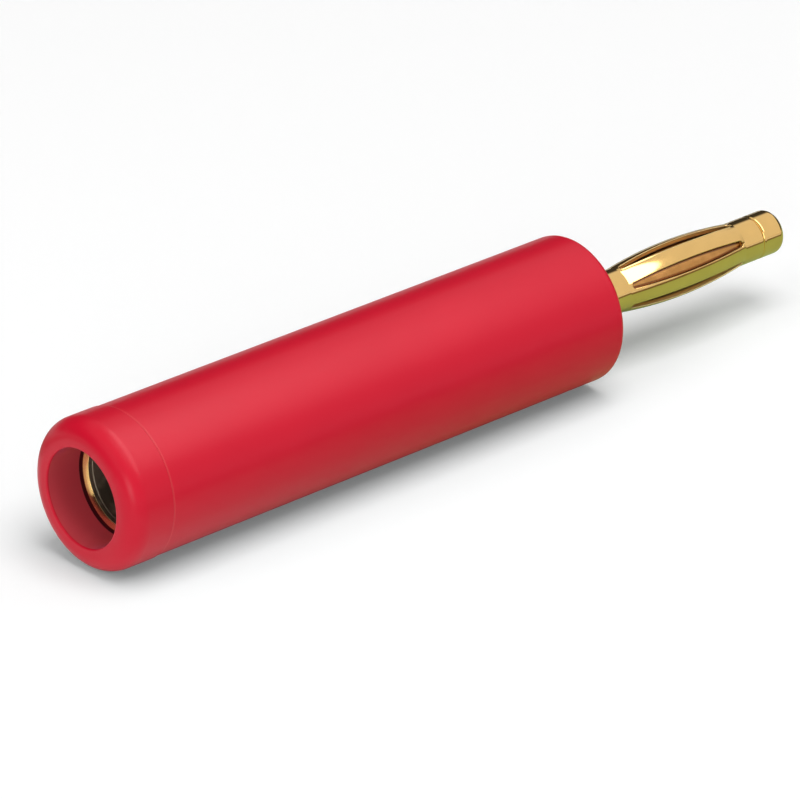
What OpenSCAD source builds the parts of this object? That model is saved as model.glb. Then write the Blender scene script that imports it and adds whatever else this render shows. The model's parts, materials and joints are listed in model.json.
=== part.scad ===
// Adapter that joins a large banana plug to a small spring plug.
// A moulded red sleeve holds one turned contact: a deep socket at the front and
// a thin pin at the rear, round which a slotted sleeve of six sprung leaves
// bulges. The adapter stands on its nose, with the plug pointing up.

/* [Socket] */
// Bore that takes the large plug
socket_dia = 4.0; // [3:0.1:6]
// Length of the bore's round wall
socket_depth = 19.5; // [10:0.5:30]
// How much wider the guide in front of the bore is, on the radius
guide_step = 0.28; // [0.2:0.02:0.4]
// Distance from the metal rim back to the end of the guide's wall
guide_depth = 1.764; // [0.8:0.004:4]
// How much wider the entry in front of the guide is, on the radius
entry_step = 0.03; // [0.02:0.01:0.1]
// Distance from the metal rim back to the end of the entry's wall
entry_depth = 0.39; // [0.3:0.01:0.7]
// Angle between the axis and the cone that leads into the bore
lead_in_angle = 30; // [20:1:60]
// Angle between the axis and the cone at the bore's bottom
drill_angle = 59; // [45:1:75]
// Thickness of the metal round the bore
tube_wall = 0.7; // [0.6:0.05:1.5]
// Slope of the metal rim, which falls towards the bore
rim_slope = 27; // [10:1:35]
// Distance from the nose back to the metal rim
rim_depth = 2.25; // [1.5:0.05:5]
// Solid metal behind the bore's wall
solid_back = 5.5; // [5:0.1:12]
// Rounding of the contact's rear edge
body_edge = 0.3; // [0.1:0.05:0.5]

/* [Front collar] */
// How far the metal rim's outer edge hides behind the collar
rim_cover = 0.08; // [0.04:0.01:0.15]
// How much the collar's hole widens towards the metal rim, on the radius
mouth_draft = 0.12; // [0.04:0.01:0.2]
// Rounding of the mouth's edge
mouth_edge = 0.16; // [0.05:0.01:0.4]
// Rounding of the nose
nose_radius = 1.0; // [0.4:0.05:1.1]
// Distance from the metal rim back to the joint with the sleeve
joint_setback = 0.25; // [0.1:0.05:1]
// How far the collar stands out past the sleeve, on the radius
collar_step = 0.04; // [0.02:0.01:0.1]
// Thickness of the skirt that grips inside the sleeve
skirt_wall = 0.45; // [0.3:0.05:1]
// Length of the skirt
skirt_length = 4.5; // [2:0.1:10]
// Rounding of the skirt's end
skirt_edge = 0.15; // [0.05:0.05:0.25]

/* [Insulating sleeve] */
// Thickness of the sleeve round the skirt
sleeve_wall = 0.62; // [0.4:0.02:2]
// Thickness of the wall that the plug comes out of
rear_wall = 2.5; // [1.5:0.1:6]
// Rounding of the rear edge
rear_edge = 0.3; // [0.1:0.05:0.5]
// Rounding on both sides of the joint with the collar
joint_edge = 0.04; // [0.03:0.01:0.1]
// Rounding of the hole that the plug comes out of
hole_edge = 0.08; // [0.04:0.01:0.2]

/* [Plug] */
// Diameter of the plug's rings and its head
plug_dia = 2.3; // [2:0.05:4]
// Length of the plug outside the sleeve
plug_length = 14.0; // [10:0.5:20]
// Thickness of the spring sheet
spring_wall = 0.25; // [0.15:0.01:0.35]
// Length of the ring between the insulating sleeve and the leaves
base_ring = 3.0; // [1:0.1:4]
// Length of the ring between the leaves and the head
tip_ring = 1.35; // [0.6:0.05:2]
// Length of the head
head_length = 1.5; // [0.8:0.1:3]
// Rounding of the head's end
head_edge = 0.35; // [0.1:0.05:0.6]
// Rounding on both sides of the joint between the rings and the head
groove_edge = 0.11; // [0.03:0.01:0.15]
// Depth of the seat in the contact that holds the spring sleeve's foot
foot_depth = 1.0; // [0.5:0.1:1.5]
// Depth of the hole that holds the pin's shank, from the contact's rear face
shank_depth = 3.2; // [2.5:0.1:3.6]
// Rounding of the shank's end
shank_edge = 0.15; // [0.05:0.05:0.3]

/* [Spring leaves] */
// Number of leaves, and of slots between them
leaf_count = 6; // [4:1:8]
// How far the leaves bulge past the rings, on the radius
leaf_rise = 0.3; // [0.1:0.01:0.45]
// Width of a slot at its round ends
slot_end_width = 0.32; // [0.2:0.01:0.36]
// Width of a slot half way up, where the bulge spreads the leaves
slot_mid_width = 0.66; // [0.4:0.01:0.7]
// Distance from each end of the bulge to the end of a slot
slot_inset = 0.18; // [0.05:0.01:0.5]

/* [Clearances] */
// Gap between the contact and the plastic round it, on the radius
contact_gap = 0.03; // [0.01:0.01:0.08]
// Gap between the plug and the hole it comes out of, on the radius
plug_gap = 0.05; // [0.02:0.01:0.1]
// Gap past the end of the skirt and of the shank, along the axis
end_gap = 0.2; // [0.1:0.05:0.5]

/* [Hidden] */
$fn = 128;

// Cuts run this far past the faces they open
past = 1;

// Radii, from the socket's axis outwards
socket_r = socket_dia / 2;
guide_r = socket_r + guide_step;
entry_r = guide_r + entry_step;
body_r = socket_r + tube_wall;
rim_hole_r = body_r - rim_cover;
mouth_r = rim_hole_r - mouth_draft;
skirt_inner_r = body_r + contact_gap;
skirt_outer_r = skirt_inner_r + skirt_wall;
sleeve_r = skirt_outer_r + sleeve_wall;
collar_r = sleeve_r + collar_step;
plug_r = plug_dia / 2;
shank_r = plug_r - spring_wall;

// Heights above the nose
joint_z = rim_depth + joint_setback;
skirt_end_z = joint_z + skirt_length;
rim_low_z = rim_depth + (rim_hole_r - entry_r) * tan(rim_slope);
entry_end_z = rim_depth + entry_depth;
guide_end_z = rim_depth + guide_depth;
socket_start_z = guide_end_z + guide_step / tan(lead_in_angle);
socket_end_z = socket_start_z + socket_depth;
drill_tip_z = socket_end_z + socket_r / tan(drill_angle);
body_end_z = socket_end_z + solid_back;
sleeve_end_z = body_end_z + rear_wall;
foot_z = body_end_z - foot_depth;
shank_hole_z = body_end_z - shank_depth;
leaf_start_z = sleeve_end_z + base_ring;
tip_z = sleeve_end_z + plug_length;
head_z = tip_z - head_length;
leaf_end_z = head_z - tip_ring;

// The leaves' arc, through both ends of the bulge and its highest point
leaf_chord = leaf_end_z - leaf_start_z;
leaf_mid_z = (leaf_start_z + leaf_end_z) / 2;
leaf_arc_r = arc_radius(leaf_chord, leaf_rise);
leaf_arc_x = plug_r + leaf_rise - leaf_arc_r;

// The slots' outline
slot_start_z = leaf_start_z + slot_inset;
slot_end_z = leaf_end_z - slot_inset;
slot_end_r = slot_end_width / 2;
slot_arc_r = arc_radius(slot_end_z - slot_start_z - slot_end_width, slot_mid_width / 2 - slot_end_r);

// Radius of the arc that rises this far above a chord
function arc_radius(chord, rise) = (chord * chord / 4 + rise * rise) / (2 * rise);

// Part of a section between two radii and two heights
module band(r1, r2, z1, z2) {
    translate([r1, z1]) square([r2 - r1, z2 - z1]);
}

// What rounding takes off a corner of a section. The sides are 1 or -1 and say
// which way the corner points.
module corner_cut(r, z, r_side, z_side, radius) {
    translate([r - r_side * radius, z - z_side * radius])
        mirror([r_side < 0 ? 1 : 0, 0])
            mirror([0, z_side < 0 ? 1 : 0])
                difference() {
                    square(radius + past / 10);
                    circle(radius);
                }
}

// What lies inside the leaves' arc, this far in from their outer face
module leaf_arc(inset) {
    intersection() {
        translate([leaf_arc_x, leaf_mid_z]) circle(leaf_arc_r - inset, $fn = 720);
        band(0, plug_r + leaf_rise + past, leaf_start_z, leaf_end_z);
    }
}

// One slot's outline, widest half way and round at both ends
module slot_outline() {
    arc_x = slot_arc_r - slot_mid_width / 2;
    intersection() {
        translate([arc_x, leaf_mid_z]) circle(slot_arc_r, $fn = 720);
        translate([-arc_x, leaf_mid_z]) circle(slot_arc_r, $fn = 720);
        band(-slot_mid_width, slot_mid_width, slot_start_z + slot_end_r, slot_end_z - slot_end_r);
    }
    translate([0, slot_start_z + slot_end_r]) circle(slot_end_r, $fn = 48);
    translate([0, slot_end_z - slot_end_r]) circle(slot_end_r, $fn = 48);
}

// Moulded tube with a wall at its rear and a wider seat for the skirt
module insulating_sleeve() {
    hole_r = plug_r + plug_gap;
    color("crimson") rotate_extrude() difference() {
        band(0, sleeve_r, joint_z, sleeve_end_z);
        band(-past, skirt_outer_r, joint_z - past, skirt_end_z + end_gap);
        band(-past, skirt_inner_r, joint_z, body_end_z);
        band(-past, hole_r, joint_z, sleeve_end_z + past);
        corner_cut(sleeve_r, joint_z, 1, -1, joint_edge);
        corner_cut(sleeve_r, sleeve_end_z, 1, 1, rear_edge);
        corner_cut(hole_r, sleeve_end_z, -1, 1, hole_edge);
    }
}

// Moulded nose ring that traps the contact, with a skirt pressed into the sleeve
module front_collar() {
    color("crimson") rotate_extrude() difference() {
        union() {
            band(0, collar_r, 0, joint_z);
            band(0, skirt_outer_r, joint_z - past / 2, skirt_end_z);
        }
        band(-past, mouth_r, -past, mouth_edge + past / 100);
        polygon([
            [-past, mouth_edge],
            [mouth_r, mouth_edge],
            [rim_hole_r, rim_depth],
            [-past, rim_depth]
        ]);
        band(-past, skirt_inner_r, rim_depth, skirt_end_z + past);
        corner_cut(mouth_r, 0, -1, -1, mouth_edge);
        corner_cut(collar_r, 0, 1, -1, nose_radius);
        corner_cut(collar_r, joint_z, 1, 1, joint_edge);
        corner_cut(skirt_outer_r, skirt_end_z, 1, 1, skirt_edge);
    }
}

// Turned contact: the deep socket, and behind it the seats for the plug
module contact_body() {
    color("gold") rotate_extrude() difference() {
        band(0, body_r, rim_depth, body_end_z);
        polygon([
            [-past, rim_depth - past],
            [rim_hole_r, rim_depth - past],
            [rim_hole_r, rim_depth],
            [entry_r, rim_low_z],
            [entry_r, entry_end_z],
            [guide_r, entry_end_z + entry_step],
            [guide_r, guide_end_z],
            [socket_r, socket_start_z],
            [socket_r, socket_end_z],
            [0, drill_tip_z],
            [-past, drill_tip_z]
        ]);
        band(-past, plug_r, foot_z, body_end_z + past);
        band(-past, shank_r, shank_hole_z, body_end_z);
        corner_cut(body_r, body_end_z, 1, 1, body_edge);
    }
}

// Sheet sleeve whose leaves bulge between two rings and give as the plug goes in
module spring_sleeve() {
    color("gold") difference() {
        rotate_extrude() difference() {
            union() {
                band(0, plug_r, foot_z, head_z);
                leaf_arc(0);
            }
            band(-past, shank_r, foot_z - past, head_z + past);
            leaf_arc(spring_wall);
            corner_cut(plug_r, head_z, 1, 1, groove_edge);
        }
        // Each slot is cut outwards from a little inside the sheet
        for (i = [0 : leaf_count - 1])
            rotate([0, 0, i * 360 / leaf_count])
                translate([shank_r * 0.8, 0, 0])
                    rotate([90, 0, 90])
                        linear_extrude(plug_r + leaf_rise)
                            slot_outline();
    }
}

// Solid pin through the spring sleeve, with the rounded head that holds it on
module core_pin() {
    color("goldenrod") rotate_extrude() difference() {
        union() {
            band(0, shank_r, shank_hole_z + end_gap, tip_z - head_length / 2);
            band(0, plug_r, head_z, tip_z);
        }
        corner_cut(shank_r, shank_hole_z + end_gap, 1, -1, shank_edge);
        corner_cut(plug_r, head_z, 1, -1, groove_edge);
        corner_cut(plug_r, tip_z, 1, 1, head_edge);
    }
}

insulating_sleeve();
front_collar();
contact_body();
spring_sleeve();
core_pin();
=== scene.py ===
"""Looks of an insulated adapter: a red housing with a deep socket in its nose and a gold spring plug.

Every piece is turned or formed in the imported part's own frame: metres, the nose on the ground
and the plug pointing up. The stage lays a pale floor along the housing's side, as in the photo.
"""

import json
import math
from typing import NamedTuple

import bmesh
import bpy
from mathutils import Euler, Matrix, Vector


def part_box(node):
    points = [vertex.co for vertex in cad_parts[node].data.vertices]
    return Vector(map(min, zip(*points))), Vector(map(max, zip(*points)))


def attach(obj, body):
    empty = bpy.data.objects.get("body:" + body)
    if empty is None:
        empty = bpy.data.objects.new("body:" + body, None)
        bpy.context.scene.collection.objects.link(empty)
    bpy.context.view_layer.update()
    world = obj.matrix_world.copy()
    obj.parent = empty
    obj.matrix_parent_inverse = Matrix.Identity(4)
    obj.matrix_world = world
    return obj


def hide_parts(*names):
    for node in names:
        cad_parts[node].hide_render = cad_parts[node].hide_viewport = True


bl_info = {
    "name": "Insulated plug adapter",
    "version": (1, 0, 0),
    "blender": (4, 5, 0),
    "location": "3D View > Sidebar > Adapter",
    "description": "Builds the housing, contact and spring plug of an adapter, and the stage round it",
    "category": "Object",
}

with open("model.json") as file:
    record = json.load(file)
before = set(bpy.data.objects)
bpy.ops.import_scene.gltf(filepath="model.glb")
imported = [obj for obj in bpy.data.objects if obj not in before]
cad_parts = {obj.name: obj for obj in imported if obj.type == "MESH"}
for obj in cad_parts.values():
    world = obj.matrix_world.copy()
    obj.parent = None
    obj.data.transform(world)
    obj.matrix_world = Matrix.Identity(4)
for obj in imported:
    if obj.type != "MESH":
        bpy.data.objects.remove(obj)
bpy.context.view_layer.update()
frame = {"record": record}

MM = 0.001

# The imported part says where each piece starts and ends.
mounts = {mount["name"]: mount for mount in frame["record"]["mounts"]}
SLEEVE_LOW, SLEEVE_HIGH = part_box("insulating_sleeve")
COLLAR_LOW, COLLAR_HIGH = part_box("front_collar")
CONTACT_LOW, CONTACT_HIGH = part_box("contact_body")
SPRING_LOW, SPRING_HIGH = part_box("spring_sleeve")
PIN_LOW, PIN_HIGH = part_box("core_pin")
SOCKET_RADIUS = mounts["socket"]["dims"]["r_mm"] * MM
SOCKET_DEPTH = mounts["socket"]["dims"]["length_mm"] * MM
PLUG_RADIUS = mounts["plug"]["dims"]["r_mm"] * MM

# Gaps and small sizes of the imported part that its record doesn't list
PLUG_GAP = 0.05 * MM
END_GAP = 0.2 * MM
HOLE_ROUNDING = 0.08 * MM
SKIRT_ROUNDING = 0.15 * MM
BODY_ROUNDING = 0.3 * MM
SHANK_ROUNDING = 0.15 * MM
GROOVE_ROUNDING = 0.11 * MM
RIM_COVER = 0.08 * MM
RIM_SLOPE = math.tan(math.radians(27.0))
ENTRY_STEP = 0.03 * MM
ENTRY_DEPTH = 0.39 * MM
GUIDE_STEP = 0.28 * MM
GUIDE_DEPTH = 1.764 * MM
LEAD_IN_SLOPE = math.tan(math.radians(30.0))
DRILL_SLOPE = math.tan(math.radians(59.0))
LEAF_COUNT = 6
SLOT_INSET = 0.18 * MM

# Small forms that only the visible pieces have
RELIEF_ROUNDING = 0.03 * MM
RIM_ROUNDING = 0.02 * MM
RIM_GROOVE_DEPTH = 0.3 * MM
ENTRY_ROUNDING = 0.01 * MM

# How finely the turned pieces are drawn
LEAF_COLUMNS = 32
TURN_STEPS = LEAF_COUNT * LEAF_COLUMNS
SLEEVE_STEP = 0.5 * MM
FINE_STEP = 0.25 * MM
PIN_STEP = 0.15 * MM
PIN_PARTS = 64
ROUND_PARTS_PER_METRE = 16 / MM
FEWEST_ROUND_PARTS = 4
MOST_ROUND_PARTS = 16
LONGEST_ROUND_PART = 0.15 * MM

# A narrow strip beside each rounding keeps the shading of the flat faces flat.
HELD_STRIP = 0.012 * MM

# Rows of faces along the spring sleeve: in its rings, round the slots' ends and between them
BASE_ROWS = 24
TIP_ROWS = 8
SLOT_END_ROWS = 8
SLOT_ROWS = 81
BEND_STRIP = 0.015 * MM
CLOSEST_ROWS = 0.004 * MM

# Past a slot's end the two columns beside it close up to the even spacing over this length.
COLUMN_EASE = 0.12 * MM

# Rounded edges of the spring sleeve, and the angles at which an edge counts as square or sharp
EDGE_PARTS = 4
SQUARE_EDGE = math.radians(55.0)
SHARP_EDGE = math.radians(34.0)
OUTER_FACE, INNER_FACE, CUT_FACE = range(3)

# Points this close are one, and a point this close to a line lies on it.
SAME_POINT = 1e-7
ON_THE_LINE = 1e-9

# Factor, first, second and result of a mix node, for numbers and for colours
MIX_SOCKETS = {"FLOAT": (0, 2, 3, 0), "RGBA": (0, 6, 7, 2)}


class Zone(NamedTuple):
    """The part of a piece within a radius and between two heights, each a metre off if left out."""

    radius: float = 1.0
    low: float = -1.0
    high: float = 1.0


class Polish(NamedTuple):
    """Fine lines on a metal, by their density on each axis and their depth, and its roughness."""

    lines: tuple
    depth: float
    roughness: float


class Lining(NamedTuple):
    """Darker tones of painted shade and another roughness inside a zone, with more painted shade
    beside the slots where their shape is given.
    """

    tones: tuple
    roughness: float
    zone: Zone
    shape: object = None


class Softbox(NamedTuple):
    """A lamp: its place from the object's middle, its size and power, and what it takes part in."""

    up: float
    across: float
    along: float
    width: float
    height: float
    power: float
    mirrored: bool = True
    lights: bool = True


# A zone's mask fades over these lengths.
RADIUS_FADE = 0.01 * MM
HEIGHT_FADE = 0.05 * MM

# Any smoother, and the render's noise filter takes the plastic for a mirror and draws loops on it.
PLASTIC_ROUGHNESS = (0.282, 0.31)
PLASTIC_IOR = 1.32
PLASTIC_PATCHES = 260.0
PLASTIC_TINT = (0.96, 1.04)
PATCH_RANGE = (0.3, 0.7)

# Zones of the plastic, and the painted light, reflection, shade and highlight put in them
MOUTH_WALL = Zone(2.64 * MM, 0.08 * MM, 2.6 * MM)
RIM_GAP = Zone(3.0 * MM, 2.06 * MM, 4.0 * MM)
JOINT_BAND = Zone(low=SLEEVE_LOW.z - 0.05 * MM, high=SLEEVE_LOW.z + 0.12 * MM)
# Paler, less red mouth wall: painted light inside the mouth
MOUTH_PAINTED_LIGHT = (0.64, 0.066, 0.084, 1.0)
# Mouth wall as the metal rim mirrors it, brighter and bluer: painted reflection
WALL_MIRRORED = (0.70, 0.12, 0.25, 1.0)
# Near-black plastic in the gap round the metal rim: painted shade
RIM_GAP_SHADE = (0.10, 0.012, 0.016, 1.0)
# Lighter line along the joint: painted highlight
JOINT_HIGHLIGHT = (0.68, 0.035, 0.05, 1.0)

# Tones that the plastic and the metal throw back at the floor and at each other
PLASTIC_THROWN = (0.05, 0.055, 0.06, 1.0)
METAL_THROWN = (0.56, 0.58, 0.60, 1.0)

# Patches, grain and wear of the metal, and how strongly its fine lines show
METAL_PATCHES = 900.0
METAL_GRAIN = 9000.0
METAL_TINT = (0.92, 1.06)
METAL_WEAR = (0.8, 1.3)
LINE_STRENGTH = 0.3

# Painted shade: darker, duller tones in the bore and warmer, darker tones on the shank under the
# leaves, darkest beside the slots, each with its roughness
BORE_SHADE_TONES = ((0.24, 0.23, 0.16, 1.0), (0.44, 0.41, 0.30, 1.0))
BORE_ROUGHNESS = 0.62
SHANK_SHADE_TONES = ((0.58, 0.28, 0.085, 1.0), (0.70, 0.34, 0.11, 1.0))
SHANK_ROUGHNESS = 0.22
SPOT_RANGE = (0.48, 0.6)
SHANK_SHADE = (0.16, 0.065, 0.035, 1.0)
SLOT_SHADE_FADE = (-0.17 * MM, -0.09 * MM)

# Lines left by the lathe run round the axis, those of the rolled sheet along it.
ROUND_LINES = (250.0, 250.0, 26000.0)
LONG_LINES = (22000.0, 22000.0, 350.0)
TURNED = Polish(ROUND_LINES, 0.0006 * MM, 0.12)
POLISHED = Polish(ROUND_LINES, 0.0005 * MM, 0.08)
ROLLED = Polish(LONG_LINES, 0.0005 * MM, 0.08)
DULL_SHEET = Polish(LONG_LINES, 0.002 * MM, 0.36)

# The camera at the photo's viewing angle
CAMERA_PLACE = Vector((257.373, -24.662, -179.979)) * MM
CAMERA_TURN = Euler([math.radians(angle) for angle in (154.6693, -47.4396, 26.9968)])
CAMERA_LENS = 301.77
CAMERA_SENSOR = 36.0
CAMERA_RANGE = (0.01, 20.0)

# The floor is a single triangle, so that no seam of its mesh runs under the housing.
FLOOR_RADIUS = 3.2

# The floor as the object mirrors it: pale before the nose and tinted beside the housing, then a
# dark band on either side, and pale again further away.
NOSE_MIRROR = (0.92, 0.92, 0.92, 1.0)
EDGE_MIRROR = (0.16, 0.12, 0.08, 1.0)
FAR_MIRROR = (0.8, 0.8, 0.8, 1.0)
BEHIND_NOSE = (-1.0 * MM, 24.0 * MM)
MIRROR_EDGE = (15.0 * MM, 18.0 * MM)
MIRROR_END = (30.0 * MM, 38.0 * MM)

# The floor throws back more light near the nose.
NOSE_GLOW = 1.4
GLOW_FADE = (-3.0 * MM, 9.0 * MM)

# The room is dim away from the open side, and dim in mirrors before the nose and past the plug.
OPEN_SIDE = (0.707, 0.707)
OPEN_FADE = 0.12
CLOSED_LEVEL = 0.06
FRONT_FADE = (-0.75, -0.55)
FRONT_LEVEL = 0.03
END_FADE = (0.83, 0.90)
END_LEVEL = 0.05

SOFTBOXES = {
    "over_softbox": Softbox(0.5, 0.16, 0.0, 0.46, 0.36, 1.8, mirrored=False),
    "nose_softbox": Softbox(0.34, 0.0, -0.46, 0.36, 0.36, 0.58, mirrored=False),
    "front_softbox": Softbox(0.08, 0.36, -0.47, 0.30, 0.22, 0.72),
    "shine_strip": Softbox(0.46, 0.14, 0.2, 0.68, 0.21, 1.7, lights=False),
}


# Sizes and finishes a user may change


class HousingSettings(bpy.types.PropertyGroup):
    wall: bpy.props.FloatProperty(
        name="Sleeve wall",
        description="Thickness of the sleeve round the collar's skirt",
        default=0.62 * MM,
        unit="LENGTH",
    )
    skirt_wall: bpy.props.FloatProperty(
        name="Skirt wall",
        description="Thickness of the collar's skirt inside the sleeve",
        default=0.45 * MM,
        unit="LENGTH",
    )
    mouth_radius: bpy.props.FloatProperty(
        name="Mouth radius",
        description="Radius of the opening in the nose",
        default=2.5 * MM,
        unit="LENGTH",
    )
    mouth_draft: bpy.props.FloatProperty(
        name="Mouth draft",
        description="How much the opening widens towards the metal rim",
        default=0.12 * MM,
        unit="LENGTH",
    )
    mouth_rounding: bpy.props.FloatProperty(
        name="Mouth rounding",
        description="Rounding of the edge of the mouth",
        default=0.09 * MM,
        unit="LENGTH",
    )
    relief: bpy.props.FloatProperty(
        name="Relief",
        description="Length of the relief in the collar round the metal rim",
        default=0.14 * MM,
        unit="LENGTH",
    )
    nose_rounding: bpy.props.FloatProperty(
        name="Nose rounding",
        description="Rounding of the nose",
        default=1.0 * MM,
        unit="LENGTH",
    )
    joint_rounding: bpy.props.FloatProperty(
        name="Joint rounding",
        description="Rounding on both sides of the line between collar and sleeve",
        default=0.04 * MM,
        unit="LENGTH",
    )
    rear_rounding: bpy.props.FloatProperty(
        name="Rear rounding",
        description="Rounding of the edge round the rear face",
        default=0.3 * MM,
        unit="LENGTH",
    )
    plastic: bpy.props.FloatVectorProperty(
        name="Plastic colour",
        description="Colour of the moulded plastic",
        default=(0.61, 0.006, 0.026),
        min=0.0,
        max=1.0,
        subtype="COLOR",
    )


class PlugSettings(bpy.types.PropertyGroup):
    sheet: bpy.props.FloatProperty(
        name="Spring sheet",
        description="Thickness of the sheet that the leaves are cut in",
        default=0.25 * MM,
        unit="LENGTH",
    )
    rise: bpy.props.FloatProperty(
        name="Leaf rise",
        description="How far the leaves bulge past the rings",
        default=0.3 * MM,
        unit="LENGTH",
    )
    base_ring: bpy.props.FloatProperty(
        name="Base ring",
        description="Length of the ring between the housing and the leaves",
        default=3.0 * MM,
        unit="LENGTH",
    )
    tip_ring: bpy.props.FloatProperty(
        name="Tip ring",
        description="Length of the ring between the leaves and the head",
        default=1.35 * MM,
        unit="LENGTH",
    )
    slot_end: bpy.props.FloatProperty(
        name="Slot ends",
        description="Width of a slot at its round ends",
        default=0.32 * MM,
        unit="LENGTH",
    )
    slot_middle: bpy.props.FloatProperty(
        name="Slot middle",
        description="Width of a slot half way up",
        default=0.66 * MM,
        unit="LENGTH",
    )
    leaf_edge: bpy.props.FloatProperty(
        name="Leaf edge",
        description="Rounding of the leaves' polished edges",
        default=0.045 * MM,
        unit="LENGTH",
    )
    rim_groove: bpy.props.FloatProperty(
        name="Rim groove",
        description="Width of the groove round the rim of the contact",
        default=0.035 * MM,
        unit="LENGTH",
    )
    swell: bpy.props.FloatProperty(
        name="Pin swell",
        description="How far the pin is thicker half way along the leaves",
        default=0.25 * MM,
        unit="LENGTH",
    )
    head_rounding: bpy.props.FloatProperty(
        name="Head rounding",
        description="Rounding of the plug's end",
        default=0.35 * MM,
        unit="LENGTH",
    )
    gold: bpy.props.FloatVectorProperty(
        name="Gold colour",
        description="Colour of the gold plating",
        default=(0.93, 0.59, 0.21),
        min=0.0,
        max=1.0,
        subtype="COLOR",
    )
    # A darker colour on the inside of the spring sheet: painted shade
    inside_shade: bpy.props.FloatVectorProperty(
        name="Inside shade colour",
        description="Colour of the inside of the spring sheet",
        default=(0.44, 0.19, 0.09),
        min=0.0,
        max=1.0,
        subtype="COLOR",
    )
    # A paler colour on the cut faces of the spring sheet: painted highlight along the slots
    cut: bpy.props.FloatVectorProperty(
        name="Cut face highlight",
        description="Colour of the cut faces of the spring sheet",
        default=(0.85, 0.66, 0.32),
        min=0.0,
        max=1.0,
        subtype="COLOR",
    )


class StageSettings(bpy.types.PropertyGroup):
    floor: bpy.props.FloatVectorProperty(
        name="Floor colour",
        description="Colour of the floor that the housing lies on",
        default=(0.95, 0.95, 0.95),
        min=0.0,
        max=1.0,
        subtype="COLOR",
    )
    mirrored: bpy.props.FloatVectorProperty(
        name="Mirrored floor",
        description="Colour of the floor as the gold and the plastic mirror it",
        default=(0.38, 0.545, 0.27),
        min=0.0,
        max=1.0,
        subtype="COLOR",
    )
    glow: bpy.props.FloatProperty(
        name="Floor glow",
        description="Level of the light that the floor throws back at the object",
        default=0.70,
        min=0.0,
    )
    lift: bpy.props.FloatProperty(
        name="Floor lift",
        description="Light that the floor itself adds towards the camera, so that it reads as white",
        default=0.08,
        min=0.0,
    )
    lean: bpy.props.FloatProperty(
        name="Floor direction",
        description="Direction of the floor's upper side, turned from the front",
        default=math.radians(27.0),
        subtype="ANGLE",
    )
    lamps: bpy.props.FloatProperty(
        name="Lamps",
        description="Strength of the four lamps together",
        default=1.0,
        min=0.0,
    )
    fill: bpy.props.FloatProperty(
        name="Room light",
        description="Level of the even light from all round",
        default=0.41,
        min=0.0,
    )
    sheen: bpy.props.FloatProperty(
        name="Mirrored room",
        description="Level of the room as the gold and the plastic mirror it",
        default=0.8,
        min=0.0,
    )


# Section shapes


def draw_section(bm, corners, step):
    """Draws a section from (radius, height, rounding) corners and splits its long edges."""
    points = [bm.verts.new((radius, 0.0, height)) for radius, height, rounding in corners]
    bm.faces.new(points)
    for point, (radius, height, rounding) in zip(points, corners):
        if rounding > 0.0:
            parts = round(rounding * ROUND_PARTS_PER_METRE)
            bmesh.ops.bevel(
                bm,
                geom=[point],
                offset=rounding,
                offset_type="OFFSET",
                affect="VERTICES",
                segments=max(FEWEST_ROUND_PARTS, min(MOST_ROUND_PARTS, parts)),
                profile=0.5,
                material=-1,
            )
    bmesh.ops.delete(bm, geom=bm.faces[:], context="FACES_ONLY")
    on_axis = [e for e in bm.edges if all(v.co.x < ON_THE_LINE for v in e.verts)]
    bmesh.ops.delete(bm, geom=on_axis, context="EDGES")
    for edge in bm.edges[:]:
        if edge.calc_length() > LONGEST_ROUND_PART:
            for end in list(edge.verts):
                bmesh.utils.edge_split(edge, end, HELD_STRIP / edge.calc_length())
    for edge in bm.edges[:]:
        cuts = int(edge.calc_length() / step)
        if cuts > 0:
            bmesh.ops.subdivide_edges(bm, edges=[edge], cuts=cuts)


def turn(bm, geometry):
    """Turns the wires once round the axis into a closed skin."""
    bmesh.ops.spin(
        bm,
        geom=geometry,
        cent=(0.0, 0.0, 0.0),
        axis=(0.0, 0.0, 1.0),
        dvec=(0.0, 0.0, 0.0),
        angle=math.tau,
        steps=TURN_STEPS,
        use_merge=True,
    )


def round_edges(bm, edges, offset):
    """Rounds the edges by the offset."""
    bmesh.ops.bevel(
        bm,
        geom=edges,
        offset=offset,
        affect="EDGES",
        segments=EDGE_PARTS,
        profile=0.5,
        material=-1,
    )


def shade(bm):
    """Smooths the faces and keeps the edges that turn by more than the limit sharp."""
    bmesh.ops.recalc_face_normals(bm, faces=bm.faces[:])
    for face in bm.faces:
        face.smooth = True
    for edge in bm.edges:
        edge.smooth = edge.calc_face_angle(0.0) < SHARP_EDGE


def finish_piece(bm, name, node, slot, *materials):
    """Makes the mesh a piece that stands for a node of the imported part."""
    mesh = bpy.data.meshes.new(name)
    bm.to_mesh(mesh)
    bm.free()
    for material in materials:
        mesh.materials.append(material)
    piece = bpy.data.objects.new(name, mesh)
    bpy.context.scene.collection.objects.link(piece)
    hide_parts(node)
    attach(piece, "root")


def turned_piece(name, node, slot, material, corners, step):
    """Turns one piece from the corners of its section."""
    bm = bmesh.new()
    draw_section(bm, corners, step)
    turn(bm, bm.verts[:] + bm.edges[:])
    bmesh.ops.remove_doubles(bm, verts=bm.verts[:], dist=SAME_POINT)
    shade(bm)
    finish_piece(bm, name, node, slot, material)


# Building materials


def add_node(tree, kind, values=None, **settings):
    """Adds a node, sets its plain settings and its sockets' values."""
    node = tree.nodes.new(kind)
    for key, value in settings.items():
        setattr(node, key, value)
    for key, value in (values or {}).items():
        node.inputs[key].default_value = value
    return node


def feed(tree, socket, value):
    """Links the socket to an output, or gives it a plain value."""
    if isinstance(value, bpy.types.NodeSocket):
        tree.links.new(value, socket)
    else:
        socket.default_value = value


def add_mix(tree, factor, first, second, kind="RGBA"):
    """Adds a mix of two colours, or of two numbers, and returns its result."""
    mix = add_node(tree, "ShaderNodeMix", data_type=kind)
    *sockets, result = MIX_SOCKETS[kind]
    for socket, value in zip(sockets, (factor, first, second)):
        feed(tree, mix.inputs[socket], value)
    return mix.outputs[result]


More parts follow.
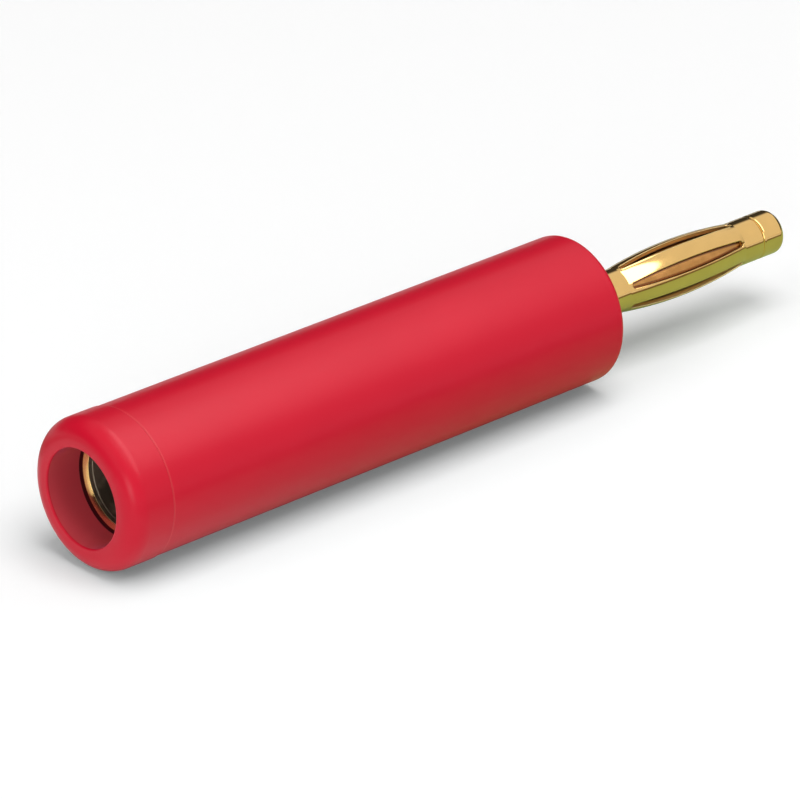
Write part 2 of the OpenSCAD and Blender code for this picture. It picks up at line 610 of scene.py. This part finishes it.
def add_shader_mix(tree, factor, first, second):
    """Adds a mix of two shaders and returns its result."""
    mix = tree.nodes.new("ShaderNodeMixShader")
    for output, socket in zip((factor, first, second), mix.inputs):
        tree.links.new(output, socket)
    return mix.outputs[0]


def add_range(tree, value, low, high, new_low, new_high, curve="LINEAR"):
    """Adds a map from one range to another and returns its result."""
    ends = {"From Min": low, "From Max": high, "To Min": new_low, "To Max": new_high}
    node = add_node(tree, "ShaderNodeMapRange", ends, interpolation_type=curve)
    tree.links.new(value, node.inputs["Value"])
    return node.outputs["Result"]


def add_math(tree, operation, *values):
    """Adds an operation on numbers and returns its result."""
    node = add_node(tree, "ShaderNodeMath", operation=operation)
    for socket, value in zip(node.inputs, values):
        feed(tree, socket, value)
    return node.outputs[0]


def add_vector_math(tree, operation, *values, result="Vector"):
    """Adds an operation on vectors and returns the named result."""
    node = add_node(tree, "ShaderNodeVectorMath", operation=operation)
    for socket, value in zip(node.inputs, values):
        feed(tree, socket, value)
    return node.outputs[result]


def add_split(tree, vector):
    """Adds a split of a vector and returns its three results by name."""
    split = tree.nodes.new("ShaderNodeSeparateXYZ")
    tree.links.new(vector, split.inputs[0])
    return split.outputs


def new_group(name, inputs, outputs):
    """Starts a shader node group with named sockets."""
    group = bpy.data.node_groups.new(name, "ShaderNodeTree")
    for socket, kind, default in inputs:
        made = group.interface.new_socket(socket, in_out="INPUT", socket_type=kind)
        made.default_value = default
    for socket in outputs:
        group.interface.new_socket(socket, in_out="OUTPUT", socket_type="NodeSocketFloat")
    return group, group.nodes.new("NodeGroupInput"), group.nodes.new("NodeGroupOutput")


def soft_mottle_group():
    """Slow patches over fine grain, for surfaces that are never quite even."""
    group, taken, given = new_group(
        "soft_mottle",
        [
            ("Place", "NodeSocketVector", (0.0, 0.0, 0.0)),
            ("Patch scale", "NodeSocketFloat", 600.0),
            ("Grain scale", "NodeSocketFloat", 6000.0),
        ],
        ["Patches", "Grain"],
    )
    for scale, detail, result in (("Patch scale", 2.0, "Patches"), ("Grain scale", 1.0, "Grain")):
        noise = add_node(group, "ShaderNodeTexNoise", {"Detail": detail, "Roughness": 0.55})
        group.links.new(taken.outputs["Place"], noise.inputs["Vector"])
        group.links.new(taken.outputs[scale], noise.inputs["Scale"])
        group.links.new(noise.outputs["Fac"], given.inputs[result])


def drawn_lines_group():
    """Fine parallel lines, as turning, rolling or drawing leaves them on metal."""
    group, taken, given = new_group(
        "drawn_lines",
        [
            ("Place", "NodeSocketVector", (0.0, 0.0, 0.0)),
            ("Across", "NodeSocketVector", ROUND_LINES),
        ],
        ["Height"],
    )
    stretched = add_vector_math(group, "MULTIPLY", taken.outputs["Place"], taken.outputs["Across"])
    fine = add_node(group, "ShaderNodeTexNoise", {"Scale": 1.0, "Detail": 5.0, "Roughness": 0.6})
    group.links.new(stretched, fine.inputs["Vector"])
    height = add_range(group, fine.outputs["Fac"], 0.25, 0.75, 0.0, 1.0)
    group.links.new(height, given.inputs["Height"])


def add_group(tree, name, place, values):
    """Places a shared group, built the first time it is asked for, with values of its own."""
    if name not in bpy.data.node_groups:
        {"soft_mottle": soft_mottle_group, "drawn_lines": drawn_lines_group}[name]()
    node = add_node(tree, "ShaderNodeGroup", node_tree=bpy.data.node_groups[name])
    tree.links.new(place, node.inputs["Place"])
    for key, value in values.items():
        node.inputs[key].default_value = value
    return node.outputs


def new_material(name):
    """Starts a material and returns it with its tree, its surface shader and its coordinates."""
    material = bpy.data.materials.new(name)
    material.use_nodes = True
    tree = material.node_tree
    tree.nodes.clear()
    surface = tree.nodes.new("ShaderNodeBsdfPrincipled")
    output = tree.nodes.new("ShaderNodeOutputMaterial")
    tree.links.new(surface.outputs["BSDF"], output.inputs["Surface"])
    place = tree.nodes.new("ShaderNodeTexCoord").outputs["Object"]
    return material, tree, surface, place


def shifted(colour, factor):
    """The colour made lighter or darker, with its alpha."""
    return tuple(min(1.0, part * factor) for part in colour) + (1.0,)


def inside_zone(tree, place, zone):
    """One inside the zone and nothing elsewhere."""
    flat = add_vector_math(tree, "MULTIPLY", place, (1.0, 1.0, 0.0))
    radius = add_vector_math(tree, "LENGTH", flat, result="Value")
    within = add_range(tree, radius, zone.radius, zone.radius + RADIUS_FADE, 1.0, 0.0)
    height = add_split(tree, place)["Z"]
    above = add_range(tree, height, zone.low, zone.low + HEIGHT_FADE, 0.0, 1.0)
    below = add_range(tree, height, zone.high - HEIGHT_FADE, zone.high, 1.0, 0.0)
    return add_math(tree, "MULTIPLY", add_math(tree, "MULTIPLY", within, above), below)


def beside_slots(tree, place, shape):
    """One under the leaves and close to their edges, and nothing in the middle of each slot."""
    split = add_split(tree, place)
    turned = add_math(tree, "ARCTAN2", split["Y"], split["X"])
    off_slot = add_math(tree, "PINGPONG", turned, math.pi / LEAF_COUNT)
    arc = add_math(tree, "MULTIPLY", off_slot, PLUG_RADIUS)
    up = add_math(tree, "SUBTRACT", split["Z"], shape.middle)
    squared = add_math(tree, "MULTIPLY", up, up)
    half_width = add_range(tree, squared, 0.0, shape.half**2, shape.widest, shape.round)
    outside = add_math(tree, "SUBTRACT", arc, half_width)
    return add_range(tree, outside, *SLOT_SHADE_FADE, 0.0, 1.0)


def satin_plastic(name, colour):
    """Moulded plastic with a soft sheen and faint flow patches; painted light and a painted reflection
    in the mouth, painted shade round the rim, a painted highlight along the joint.
    """
    if name in bpy.data.materials:
        return bpy.data.materials[name]
    material, tree, surface, place = new_material(name)
    surface.inputs["IOR"].default_value = PLASTIC_IOR
    patches = add_group(tree, "soft_mottle", place, {"Patch scale": PLASTIC_PATCHES})["Patches"]
    path = tree.nodes.new("ShaderNodeLightPath")
    tint = add_mix(tree, patches, *(shifted(colour, factor) for factor in PLASTIC_TINT))
    in_mouth = inside_zone(tree, place, MOUTH_WALL)
    # Paler mouth wall: painted light
    tint = add_mix(tree, in_mouth, tint, MOUTH_PAINTED_LIGHT)
    # Brighter mouth wall in the metal's mirror: painted reflection
    mirrored = add_math(tree, "MULTIPLY", path.outputs["Is Glossy Ray"], in_mouth)
    tint = add_mix(tree, mirrored, tint, WALL_MIRRORED)
    # Near-black gap round the metal rim: painted shade
    tint = add_mix(tree, inside_zone(tree, place, RIM_GAP), tint, RIM_GAP_SHADE)
    # Lighter line along the joint: painted highlight
    tint = add_mix(tree, inside_zone(tree, place, JOINT_BAND), tint, JOINT_HIGHLIGHT)
    outside = add_math(tree, "SUBTRACT", 1.0, in_mouth)
    thrown = add_math(tree, "MULTIPLY", path.outputs["Is Diffuse Ray"], outside)
    tint = add_mix(tree, thrown, tint, PLASTIC_THROWN)
    tree.links.new(tint, surface.inputs["Base Color"])
    rough = add_range(tree, patches, *PATCH_RANGE, *PLASTIC_ROUGHNESS)
    tree.links.new(rough, surface.inputs["Roughness"])
    return material


def metal_plating(name, colour, polish, lining=None):
    """Plating over fine lines, with darker tones of painted shade and another roughness inside the
    lining's zone.
    """
    if name in bpy.data.materials:
        return bpy.data.materials[name]
    material, tree, surface, place = new_material(name)
    surface.inputs["Metallic"].default_value = 1.0
    lines = add_group(tree, "drawn_lines", place, {"Across": polish.lines})
    scales = {"Patch scale": METAL_PATCHES, "Grain scale": METAL_GRAIN}
    mottle = add_group(tree, "soft_mottle", place, scales)
    tint = add_mix(
        tree, mottle["Patches"], *(shifted(colour, factor) for factor in METAL_TINT)
    )
    worn = (polish.roughness * factor for factor in METAL_WEAR)
    rough = add_range(tree, mottle["Grain"], 0.0, 1.0, *worn)
    if lining:
        inside = inside_zone(tree, place, lining.zone)
        spots = add_range(tree, mottle["Patches"], *SPOT_RANGE, 0.0, 1.0)
        lining_tint = add_mix(tree, spots, *lining.tones)
        if lining.shape:
            shaded = beside_slots(tree, place, lining.shape)
            # Darker still beside the slots: painted shade
            lining_tint = add_mix(tree, shaded, lining_tint, SHANK_SHADE)
        tint = add_mix(tree, inside, tint, lining_tint)
        rough = add_mix(tree, inside, rough, lining.roughness, kind="FLOAT")
    path = tree.nodes.new("ShaderNodeLightPath")
    tint = add_mix(tree, path.outputs["Is Diffuse Ray"], tint, METAL_THROWN)
    tree.links.new(tint, surface.inputs["Base Color"])
    tree.links.new(rough, surface.inputs["Roughness"])
    bump = add_node(tree, "ShaderNodeBump", {"Strength": LINE_STRENGTH, "Distance": polish.depth})
    tree.links.new(lines["Height"], bump.inputs["Height"])
    tree.links.new(bump.outputs["Normal"], surface.inputs["Normal"])
    return material


# The spring sleeve's form


def between(low, high, parts):
    """Heights that split a stretch into equal parts, without its two ends."""
    return [low + (high - low) * part / parts for part in range(1, parts)]


class LeafShape:
    """Heights, radii and slot widths of the spring sleeve."""

    def __init__(self, settings):
        self.start = SLEEVE_HIGH.z + settings.base_ring
        self.end = SPRING_HIGH.z - settings.tip_ring
        self.middle = (self.start + self.end) / 2
        self.half = (self.end - self.start) / 2
        self.sheet = settings.sheet
        self.arc = (self.half**2 + settings.rise**2) / (2 * settings.rise)
        self.arc_centre = PLUG_RADIUS + settings.rise - self.arc
        self.slot_start = self.start + SLOT_INSET
        self.slot_end = self.end - SLOT_INSET
        self.round = settings.slot_end / 2
        self.widest = settings.slot_middle / 2
        reach = (self.slot_end - self.slot_start) / 2 - self.round
        spread = self.widest - self.round
        self.slot_arc = (reach**2 + spread**2) / (2 * spread)

    def radius(self, z, depth):
        """Radius of the sheet at a height, this far in from its outer face."""
        plain = PLUG_RADIUS - depth
        if not self.start < z < self.end:
            return plain
        bulge = math.sqrt((self.arc - depth) ** 2 - (z - self.middle) ** 2) + self.arc_centre
        return max(plain, bulge)

    def half_width(self, z):
        """Half the slot's width at a height."""
        if not self.slot_start < z < self.slot_end:
            return 0.0
        from_end = min(z - self.slot_start, self.slot_end - z)
        if from_end < self.round:
            return math.sqrt(self.round**2 - (self.round - from_end) ** 2)
        return math.sqrt(self.slot_arc**2 - (z - self.middle) ** 2) - self.slot_arc + self.widest

    def heights(self):
        """Heights of the rows of faces, closer together where the sheet bends or a slot ends."""
        rows = {SPRING_LOW.z, SPRING_HIGH.z}
        rows.update(self.start + shift for shift in (-BEND_STRIP, 0.0, BEND_STRIP))
        rows.update(self.end + shift for shift in (-BEND_STRIP, 0.0, BEND_STRIP))
        rows.update(between(SPRING_LOW.z, self.start, BASE_ROWS))
        rows.update(between(self.end, SPRING_HIGH.z, TIP_ROWS))
        for part in range(SLOT_END_ROWS + 1):
            turn_up = math.radians(90.0 * part / SLOT_END_ROWS)
            rows.add(self.slot_start + self.round * (1.0 - math.cos(turn_up)))
            rows.add(self.slot_end - self.round * (1.0 - math.cos(turn_up)))
        rows.update(between(self.slot_start + self.round, self.slot_end - self.round, SLOT_ROWS))
        found = []
        for row in sorted(rows):
            if not found or row - found[-1] > CLOSEST_ROWS:
                found.append(row)
        return found


def leaf_shell(bm, shape, depth):
    """Adds one face of the sheet: a turned skin whose columns part along the slots."""
    before = set(bm.verts)
    chain = [bm.verts.new((shape.radius(z, depth), 0.0, z)) for z in shape.heights()]
    wires = [bm.edges.new(pair) for pair in zip(chain, chain[1:])]
    turn(bm, chain + wires)
    skin = [v for v in bm.verts if v not in before]
    pitch = math.tau / LEAF_COUNT
    column = math.tau / TURN_STEPS
    opened = []
    for vert in skin:
        z = vert.co.z
        angle = math.atan2(vert.co.y, vert.co.x)
        slot = round(angle / pitch)
        index = round((angle - slot * pitch) / column)
        radius = shape.radius(z, depth)
        if index == 0:
            if shape.slot_start + ON_THE_LINE < z < shape.slot_end - ON_THE_LINE:
                opened.append(vert)
            continue
        if shape.slot_start - ON_THE_LINE < z < shape.slot_end + ON_THE_LINE:
            edge = math.asin(shape.half_width(z) / radius)
        else:
            away = max(shape.slot_start - z, z - shape.slot_end)
            edge = column * min(1.0, away / COLUMN_EASE)
        steps = abs(index) - 1
        moved = edge + (pitch / 2 - edge) * steps / (LEAF_COLUMNS / 2 - 1)
        angle = slot * pitch + math.copysign(moved, index)
        vert.co.x = radius * math.cos(angle)
        vert.co.y = radius * math.sin(angle)
    bmesh.ops.delete(bm, geom=opened, context="VERTS")


def opening_of(edge, shape):
    """Which slot or end ring an open edge belongs to."""
    middle = (edge.verts[0].co + edge.verts[1].co) / 2
    if middle.z < shape.start:
        return "foot"
    if middle.z > shape.end:
        return "tip"
    return round(math.atan2(middle.y, middle.x) / (math.tau / LEAF_COUNT)) % LEAF_COUNT


# Pieces


class ADAPTER_OT_housing(bpy.types.Operator):
    """Turns the insulating sleeve and the front collar that closes it"""

    bl_idname = "adapter.housing"
    bl_label = "Housing"

    def execute(self, context):
        s = context.scene.adapter_housing
        plastic = satin_plastic("red_plastic_moulded", s.plastic)
        sleeve_r = SLEEVE_HIGH.x
        seat_r = sleeve_r - s.wall
        inner_r = seat_r - s.skirt_wall
        hole_r = PLUG_RADIUS + PLUG_GAP
        joint_z = SLEEVE_LOW.z
        seat_z = COLLAR_HIGH.z + END_GAP
        relief_z = CONTACT_LOW.z - s.relief
        turned_piece(
            "sleeve_moulding",
            "insulating_sleeve",
            "red_plastic",
            plastic,
            [
                (seat_r, joint_z, 0.0),
                (sleeve_r, joint_z, s.joint_rounding),
                (sleeve_r, SLEEVE_HIGH.z, s.rear_rounding),
                (hole_r, SLEEVE_HIGH.z, HOLE_ROUNDING),
                (hole_r, CONTACT_HIGH.z, 0.0),
                (inner_r, CONTACT_HIGH.z, 0.0),
                (inner_r, seat_z, 0.0),
                (seat_r, seat_z, 0.0),
            ],
            SLEEVE_STEP,
        )
        turned_piece(
            "collar_moulding",
            "front_collar",
            "red_plastic",
            plastic,
            [
                (s.mouth_radius, COLLAR_LOW.z, s.mouth_rounding),
                (COLLAR_HIGH.x, COLLAR_LOW.z, s.nose_rounding),
                (COLLAR_HIGH.x, joint_z, s.joint_rounding),
                (seat_r, joint_z, 0.0),
                (seat_r, COLLAR_HIGH.z, SKIRT_ROUNDING),
                (inner_r, COLLAR_HIGH.z, 0.0),
                (inner_r, CONTACT_LOW.z, 0.0),
                (CONTACT_HIGH.x, CONTACT_LOW.z, 0.0),
                (CONTACT_HIGH.x, relief_z, 0.0),
                (s.mouth_radius + s.mouth_draft, relief_z, RELIEF_ROUNDING),
            ],
            FINE_STEP,
        )
        return {"FINISHED"}


class ADAPTER_OT_contact(bpy.types.Operator):
    """Turns the contact with its deep socket and the seats for the plug"""

    bl_idname = "adapter.contact"
    bl_label = "Contact"

    def execute(self, context):
        p = context.scene.adapter_plug
        outer_r = CONTACT_HIGH.x
        rim_r = outer_r - RIM_COVER
        bead_r = rim_r - p.rim_groove
        guide_r = SOCKET_RADIUS + GUIDE_STEP
        entry_r = guide_r + ENTRY_STEP
        shank_r = PLUG_RADIUS - p.sheet
        front_z = CONTACT_LOW.z
        bead_z = front_z + p.rim_groove * RIM_SLOPE
        rim_z = front_z + (rim_r - entry_r) * RIM_SLOPE
        groove_z = front_z + RIM_GROOVE_DEPTH
        entry_z = front_z + ENTRY_DEPTH
        guide_z = front_z + GUIDE_DEPTH
        bore_z = guide_z + GUIDE_STEP / LEAD_IN_SLOPE
        bore_end = bore_z + SOCKET_DEPTH
        shank_z = PIN_LOW.z - END_GAP
        # Darker, duller tones inside the bore: painted shade
        lining = Lining(BORE_SHADE_TONES, BORE_ROUGHNESS, Zone(entry_r))
        turned_piece(
            "contact_turned",
            "contact_body",
            "gold_contact",
            metal_plating("gold_contact_turned", p.gold, TURNED, lining),
            [
                (entry_r, rim_z, RIM_ROUNDING),
                (bead_r, bead_z, RIM_ROUNDING),
                (bead_r, groove_z, 0.0),
                (outer_r, groove_z, 0.0),
                (outer_r, CONTACT_HIGH.z, BODY_ROUNDING),
                (PLUG_RADIUS, CONTACT_HIGH.z, 0.0),
                (PLUG_RADIUS, SPRING_LOW.z, 0.0),
                (shank_r, SPRING_LOW.z, 0.0),
                (shank_r, shank_z, 0.0),
                (0.0, shank_z, 0.0),
                (0.0, bore_end + SOCKET_RADIUS / DRILL_SLOPE, 0.0),
                (SOCKET_RADIUS, bore_end, 0.0),
                (SOCKET_RADIUS, bore_z, 0.0),
                (guide_r, guide_z, 0.0),
                (guide_r, entry_z + ENTRY_STEP, ENTRY_ROUNDING),
                (entry_r, entry_z, ENTRY_ROUNDING),
            ],
            FINE_STEP,
        )
        return {"FINISHED"}


class ADAPTER_OT_pin(bpy.types.Operator):
    """Turns the pin that runs through the spring sleeve, with its rounded head"""

    bl_idname = "adapter.pin"
    bl_label = "Core pin"

    def execute(self, context):
        p = context.scene.adapter_plug
        shank_r = PLUG_RADIUS - p.sheet
        shape = LeafShape(p)
        under_leaves = Zone(PLUG_RADIUS + p.rise, high=SPRING_HIGH.z - p.tip_ring / 2)
        # Warmer, darker shank under the leaves, darkest beside the slots: painted shade
        lining = Lining(SHANK_SHADE_TONES, SHANK_ROUGHNESS, under_leaves, shape)
        swollen = []
        for part in range(1, PIN_PARTS):
            off = 1.0 - 2.0 * part / PIN_PARTS
            swollen_r = shank_r + p.swell * (1.0 - off * off)
            swollen.append((swollen_r, shape.middle - off * shape.half, 0.0))
        turned_piece(
            "pin_turned",
            "core_pin",
            "gold_pin",
            metal_plating("gold_pin_turned", p.gold, POLISHED, lining),
            [
                (0.0, PIN_LOW.z, 0.0),
                (shank_r, PIN_LOW.z, SHANK_ROUNDING),
                *swollen,
                (shank_r, SPRING_HIGH.z, 0.0),
                (PLUG_RADIUS, SPRING_HIGH.z, GROOVE_ROUNDING),
                (PLUG_RADIUS, PIN_HIGH.z, p.head_rounding),
                (0.0, PIN_HIGH.z, 0.0),
            ],
            PIN_STEP,
        )
        return {"FINISHED"}


class ADAPTER_OT_spring(bpy.types.Operator):
    """Forms the slotted spring sleeve whose leaves bulge between two rings"""

    bl_idname = "adapter.spring"
    bl_label = "Spring sleeve"

    def execute(self, context):
        p = context.scene.adapter_plug
        shape = LeafShape(p)
        bm = bmesh.new()
        leaf_shell(bm, shape, 0.0)
        outside = set(bm.faces)
        leaf_shell(bm, shape, shape.sheet)
        for face in bm.faces:
            face.material_index = OUTER_FACE if face in outside else INNER_FACE
        bmesh.ops.remove_doubles(bm, verts=bm.verts[:], dist=SAME_POINT)
        openings = {}
        for edge in bm.edges:
            if edge.is_boundary:
                openings.setdefault(opening_of(edge, shape), []).append(edge)
        if len(openings) != LEAF_COUNT + 2:
            raise RuntimeError(f"the spring sleeve has {len(openings)} openings")
        for edges in openings.values():
            for face in bmesh.ops.bridge_loops(bm, edges=edges)["faces"]:
                face.material_index = CUT_FACE
        bmesh.ops.recalc_face_normals(bm, faces=bm.faces[:])
        tip = [
            e
            for e in bm.edges
            if e.calc_face_angle(0.0) > SQUARE_EDGE
            and all(v.co.z > SPRING_HIGH.z - SAME_POINT for v in e.verts)
            and e.verts[0].co.xy.length > PLUG_RADIUS - 10 * SAME_POINT
        ]
        round_edges(bm, tip, GROOVE_ROUNDING)
        slots = [
            e
            for e in bm.edges
            if e.calc_face_angle(0.0) > SQUARE_EDGE
            and shape.start < e.verts[0].co.z < shape.end
        ]
        round_edges(bm, slots, p.leaf_edge)
        shade(bm)
        finish_piece(
            bm,
            "spring_leaves",
            "spring_sleeve",
            "gold_spring",
            metal_plating("gold_spring_rolled", p.gold, ROLLED),
            # Darker inside of the sheet: painted shade
            metal_plating("copper_spring_inside", p.inside_shade, DULL_SHEET),
            # Paler cut faces: painted highlight along the slots
            metal_plating("gold_spring_cut", p.cut, DULL_SHEET),
        )
        return {"FINISHED"}


# Stage


def stage_point(lean, up, across, along):
    """A point given by its height over the floor's direction, across it and along the axis."""
    rise = Vector((math.sin(lean), -math.cos(lean), 0.0))
    side = Vector((math.cos(lean), math.sin(lean), 0.0))
    return rise * up + side * across + Vector((0.0, 0.0, along))


def add_softbox(name, box, middle, lean, level):
    """Adds a rectangular white light that faces the middle of the object."""
    light = bpy.data.lights.new(name, "AREA")
    light.shape = "RECTANGLE"
    light.size = box.width
    light.size_y = box.height
    light.energy = box.power * level
    lamp = bpy.data.objects.new(name, light)
    place = stage_point(lean, box.up, box.across, box.along)
    lamp.location = middle + place
    lamp.rotation_euler = place.to_track_quat("Z", "Y").to_euler()
    lamp.visible_glossy = box.mirrored
    lamp.visible_diffuse = box.lights
    bpy.context.scene.collection.objects.link(lamp)


def floor_material(name, s):
    """Pale paper that keeps its shadow, tinted where metal mirrors it and clear from below."""
    material = bpy.data.materials.new(name)
    material.use_nodes = True
    tree = material.node_tree
    tree.nodes.clear()
    output = tree.nodes.new("ShaderNodeOutputMaterial")
    path = tree.nodes.new("ShaderNodeLightPath")
    side = tree.nodes.new("ShaderNodeNewGeometry")
    place = tree.nodes.new("ShaderNodeTexCoord").outputs["Object"]
    across = stage_point(s.lean, 0.0, 1.0, 0.0)
    away = add_vector_math(tree, "DOT_PRODUCT", place, across, result="Value")
    distance = add_math(tree, "ABSOLUTE", away)
    along = add_split(tree, place)["Z"]
    behind = add_range(tree, along, *BEHIND_NOSE, 0.0, 1.0)
    mirror = add_mix(tree, behind, NOSE_MIRROR, (*s.mirrored, 1.0))
    for stretch, tone in ((MIRROR_EDGE, EDGE_MIRROR), (MIRROR_END, FAR_MIRROR)):
        mirror = add_mix(tree, add_range(tree, distance, *stretch, 0.0, 1.0), mirror, tone)
    tint = add_mix(tree, path.outputs["Is Glossy Ray"], (*s.floor, 1.0), mirror)
    paper = tree.nodes.new("ShaderNodeBsdfDiffuse")
    tree.links.new(tint, paper.inputs["Color"])
    raised = add_node(tree, "ShaderNodeEmission", {"Strength": s.lift})
    white = tree.nodes.new("ShaderNodeAddShader")
    tree.links.new(paper.outputs[0], white.inputs[0])
    tree.links.new(raised.outputs[0], white.inputs[1])
    even = tree.nodes.new("ShaderNodeEmission")
    thrown = add_range(tree, along, *GLOW_FADE, s.glow * NOSE_GLOW, s.glow)
    tree.links.new(thrown, even.inputs["Strength"])
    clear = tree.nodes.new("ShaderNodeBsdfTransparent")
    seen = add_shader_mix(tree, path.outputs["Is Camera Ray"], paper.outputs[0], white.outputs[0])
    top = add_shader_mix(tree, path.outputs["Is Diffuse Ray"], seen, even.outputs[0])
    both = add_shader_mix(tree, side.outputs["Backfacing"], top, clear.outputs[0])
    tree.links.new(both, output.inputs["Surface"])
    return material


def add_floor(s, middle):
    """Lays the floor along the housing's side."""
    rise = stage_point(s.lean, 1.0, 0.0, 0.0)
    bm = bmesh.new()
    bmesh.ops.create_circle(bm, cap_ends=True, segments=3, radius=FLOOR_RADIUS)
    bmesh.ops.rotate(bm, verts=bm.verts[:], matrix=rise.to_track_quat("Z", "Y").to_matrix())
    bmesh.ops.translate(bm, verts=bm.verts[:], vec=middle - rise * COLLAR_HIGH.x)
    mesh = bpy.data.meshes.new("floor")
    bm.to_mesh(mesh)
    bm.free()
    mesh.materials.append(floor_material("pale_floor", s))
    floor = bpy.data.objects.new("floor", mesh)
    bpy.context.scene.collection.objects.link(floor)


def set_room(s):
    """A room that is dim behind the housing, with a white background behind the floor's edge."""
    world = bpy.data.worlds.new("studio_room")
    bpy.context.scene.world = world
    world.use_nodes = True
    tree = world.node_tree
    tree.nodes.clear()
    output = tree.nodes.new("ShaderNodeOutputWorld")
    path = tree.nodes.new("ShaderNodeLightPath")
    towards = tree.nodes.new("ShaderNodeTexCoord").outputs["Generated"]
    open_side = stage_point(s.lean, *OPEN_SIDE, 0.0)
    facing = add_vector_math(tree, "DOT_PRODUCT", towards, open_side, result="Value")
    lit = add_range(tree, facing, -OPEN_FADE, OPEN_FADE, CLOSED_LEVEL, 1.0, curve="SMOOTHSTEP")
    along = add_split(tree, towards)["Z"]
    front = add_range(tree, along, *FRONT_FADE, FRONT_LEVEL, 1.0)
    end = add_range(tree, along, *END_FADE, 1.0, END_LEVEL)
    shown = add_math(tree, "MULTIPLY", add_math(tree, "MULTIPLY", front, end), s.sheen)
    plain = add_mix(tree, path.outputs["Is Glossy Ray"], s.fill, shown, kind="FLOAT")
    strength = add_math(tree, "MULTIPLY", plain, lit)
    room = tree.nodes.new("ShaderNodeBackground")
    tree.links.new(strength, room.inputs["Strength"])
    white = tree.nodes.new("ShaderNodeBackground")
    for light in (room, white):
        light.inputs["Color"].default_value = (1.0, 1.0, 1.0, 1.0)
    mix = add_shader_mix(tree, path.outputs["Is Camera Ray"], room.outputs[0], white.outputs[0])
    tree.links.new(mix, output.inputs["Surface"])


class ADAPTER_OT_stage(bpy.types.Operator):
    """Sets the floor, the lights and the camera"""

    bl_idname = "adapter.stage"
    bl_label = "Stage"

    def execute(self, context):
        s = context.scene.adapter_stage
        scene = context.scene
        scene.view_settings.view_transform = "Standard"
        camera_data = bpy.data.cameras.new("photo_camera")
        camera_data.lens = CAMERA_LENS
        camera_data.sensor_width = CAMERA_SENSOR
        camera_data.clip_start, camera_data.clip_end = CAMERA_RANGE
        camera = bpy.data.objects.new("photo_camera", camera_data)
        camera.location = CAMERA_PLACE
        camera.rotation_euler = CAMERA_TURN
        scene.collection.objects.link(camera)
        scene.camera = camera
        middle = Vector((0.0, 0.0, SPRING_HIGH.z / 2))
        add_floor(s, middle)
        set_room(s)
        for name, box in SOFTBOXES.items():
            add_softbox(name, box, middle, s.lean, s.lamps)
        return {"FINISHED"}


# Sidebar


class ADAPTER_PT_panel(bpy.types.Panel):
    """Lists the sizes and colours, and a button for each group of pieces"""

    bl_label = "Adapter"
    bl_idname = "ADAPTER_PT_panel"
    bl_space_type = "VIEW_3D"
    bl_region_type = "UI"
    bl_category = "Adapter"

    def draw(self, context):
        layout = self.layout
        for group in SETTINGS:
            settings = getattr(context.scene, group)
            box = layout.box()
            for name in settings.__annotations__:
                box.prop(settings, name)
        for operator in OPERATORS:
            layout.operator(operator.bl_idname)


OPERATORS = (
    ADAPTER_OT_stage,
    ADAPTER_OT_housing,
    ADAPTER_OT_contact,
    ADAPTER_OT_pin,
    ADAPTER_OT_spring,
)
SETTINGS = {
    "adapter_housing": HousingSettings,
    "adapter_plug": PlugSettings,
    "adapter_stage": StageSettings,
}


def register():
    for name, settings in SETTINGS.items():
        bpy.utils.register_class(settings)
        setattr(bpy.types.Scene, name, bpy.props.PointerProperty(type=settings))
    for operator in OPERATORS:
        bpy.utils.register_class(operator)
    bpy.utils.register_class(ADAPTER_PT_panel)


def unregister():
    bpy.utils.unregister_class(ADAPTER_PT_panel)
    for operator in reversed(OPERATORS):
        bpy.utils.unregister_class(operator)
    for name, settings in SETTINGS.items():
        delattr(bpy.types.Scene, name)
        bpy.utils.unregister_class(settings)


def main():
    register()
    bpy.ops.adapter.stage()
    bpy.ops.adapter.housing()
    bpy.ops.adapter.contact()
    bpy.ops.adapter.pin()
    bpy.ops.adapter.spring()


if __name__ == "__main__":
    main()
